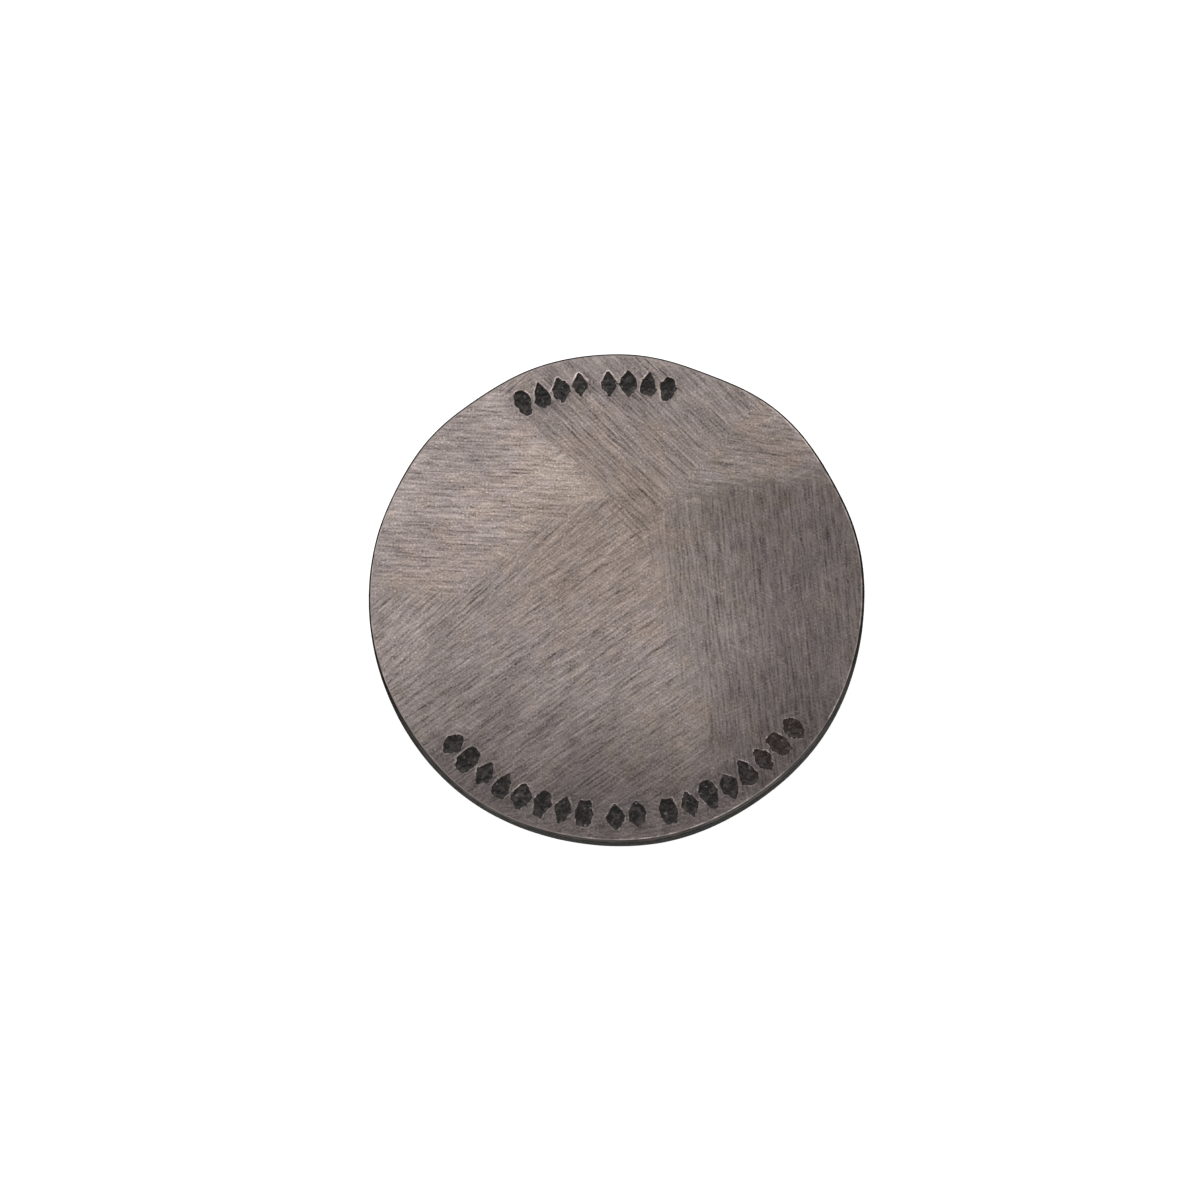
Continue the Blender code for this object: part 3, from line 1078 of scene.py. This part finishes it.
def black_filling():
    """Satin black filling with a brown cast in places, lighter grey blotches that are partly painted
    soft reflection, and small bright specks that are partly bare steel and partly painted glints.
    """
    paint = Paint("black_filling")
    place = paint.place()
    cast = paint.uneven(paint.noise(place, 1.6, 2.0, 0.5), WARM_UNEVEN)
    warm = paint.ramp(paint.math("ADD", paint.depth(place, *WARM_SIDE), cast), *WARM_FADE)
    grain = paint.noise(place, 0.14, 2.0, 0.6)
    colour = paint.mix(warm, FILL_BLACK, FILL_BROWN, "RGBA")
    # lighter grey blotches: painted soft reflection in part, the filling's own uneven tone in part
    grey_and_sheen = paint.ramp(paint.noise(place, 0.36, 2.0, 0.6), *GREY_AND_SHEEN_FADE)
    colour = paint.mix(grey_and_sheen, colour, FILL_GREY_AND_SHEEN, "RGBA")
    # small bright specks: painted glints in part, bare steel showing through in part
    glint_speck = paint.ramp(paint.noise(place, 0.24, 1.5, 0.5), *FILL_GLINT_SPECK_FADE)
    colour = paint.mix(glint_speck, colour, FILL_GLINT_SPECK, "RGBA")
    paint.set("Base Color", colour)
    paint.set("Metallic", 0.0)
    paint.set("Specular IOR Level", 0.3)
    paint.set("Roughness", paint.ramp(grain, *FILL_ROUGHNESS_FADE))
    paint.bump(grain, FILL_BUMP)
    return paint.material


def floor_surface():
    """Plain white paper."""
    paint = Paint("white_floor")
    grain = paint.noise(paint.place(), 0.6, 2.0, 0.5)
    paint.set("Base Color", paint.scaled(PAPER, paint.ramp(grain, *PAPER_GRAIN_FADE)))
    paint.set("Roughness", 0.9)
    paint.set("Specular IOR Level", 0.1)
    paint.set("Emission Color", (1, 1, 1, 1))
    paint.set("Emission Strength", PAPER_GLOW)
    return paint.material


# --- The studio ---------------------------------------------------------------------------------

# Camera lengths are in mm, except for what it clips; the lights' and the floor's are in metres
CAMERA_LENS = 200.0
CAMERA_SENSOR = 36.0
CAMERA_DISTANCE = 342.0
CAMERA_TILT = 8.7  # degrees from straight overhead, towards -Y
CAMERA_LEAN = 1.6  # degrees from straight overhead, towards +X
CAMERA_AIM = (-0.86, -0.03, 1.0)  # the disc stands a little right of the picture's middle
CAMERA_CLIPS = (0.01, 10)
WALL_LIGHT = 1.0
CEILING_LIGHT = 0.4
WALLS_END = 0.12  # sine of the height above the horizon
CEILING_STARTS = 0.65
FLOOR_REACH = 2.0
FLOOR_DROP = 0.00002
# The softboxes: place, width and height, brightness. Each faces the disc.
SOFTBOXES = {
    "long_strip": ((-0.10, 0.53, 0.73), (1.1, 0.4), 2.2),
    "left_side": ((-1.0, 0.1, 0.4), (0.5, 0.8), 1.5),
    "right_side": ((1.0, -0.1, 0.4), (0.5, 0.8), 1.2),
}


def make_camera():
    """The camera nearly overhead, with its upper side towards +Y."""
    data = bpy.data.cameras.new("camera")
    data.lens = CAMERA_LENS
    data.sensor_width = CAMERA_SENSOR
    data.clip_start, data.clip_end = CAMERA_CLIPS
    camera = bpy.data.objects.new("camera", data)
    bpy.context.scene.collection.objects.link(camera)
    back = Vector(
        (math.tan(math.radians(CAMERA_LEAN)), -math.tan(math.radians(CAMERA_TILT)), 1)
    ).normalized()
    right = Vector((0, 1, 0)).cross(back).normalized()
    camera.location = (Vector(CAMERA_AIM) + back * CAMERA_DISTANCE) * MM
    camera.rotation_mode = "QUATERNION"
    camera.rotation_quaternion = Matrix((right, back.cross(right), back)).transposed().to_quaternion()
    bpy.context.scene.camera = camera


def add_softbox(name, place, size, brightness):
    """A rectangular light as bright all over as brightness says."""
    data = bpy.data.lights.new(name, "AREA")
    data.shape = "RECTANGLE"
    data.size, data.size_y = size
    data.energy = math.pi * size[0] * size[1] * brightness
    light = bpy.data.objects.new(name, data)
    bpy.context.scene.collection.objects.link(light)
    light.location = place
    light.rotation_mode = "QUATERNION"
    light.rotation_quaternion = (-Vector(place)).to_track_quat("-Z", "Y")


def make_world():
    """White walls and a grey ceiling: the light that comes from each height above the horizon."""
    world = bpy.data.worlds.new("studio")
    world.use_nodes = True
    nodes = world.node_tree.nodes
    links = world.node_tree.links
    direction = nodes.new("ShaderNodeTexCoord")
    split = nodes.new("ShaderNodeSeparateXYZ")
    links.new(direction.outputs["Generated"], split.inputs[0])
    height = nodes.new("ShaderNodeMapRange")
    height.interpolation_type = "SMOOTHSTEP"
    height.inputs["From Min"].default_value = WALLS_END
    height.inputs["From Max"].default_value = CEILING_STARTS
    height.inputs["To Min"].default_value = WALL_LIGHT
    height.inputs["To Max"].default_value = CEILING_LIGHT
    links.new(split.outputs["Z"], height.inputs["Value"])
    links.new(height.outputs["Result"], nodes["Background"].inputs["Strength"])
    nodes["Background"].inputs["Color"].default_value = (1, 1, 1, 1)
    bpy.context.scene.world = world


def make_studio():
    """The light and the white floor."""
    make_world()
    for name, (place, size, brightness) in SOFTBOXES.items():
        add_softbox(name, place, size, brightness)
    bm = bmesh.new()
    bmesh.ops.create_grid(bm, x_segments=4, y_segments=4, size=FLOOR_REACH)
    mesh = bpy.data.meshes.new("floor")
    bm.to_mesh(mesh)
    bm.free()
    mesh.materials.append(floor_surface())
    floor = bpy.data.objects.new("floor", mesh)
    floor.location.z = -FLOOR_DROP
    bpy.context.scene.collection.objects.link(floor)
    bpy.context.scene.view_settings.view_transform = "Standard"


def main():
    make_camera()
    make_studio()
    make_disc([brushed_face(), filed_edge(), brushed_underside(), recess_wall()])
    filling = black_filling()
    for infill in INFILLS:
        make_fill(infill, filling)


main()
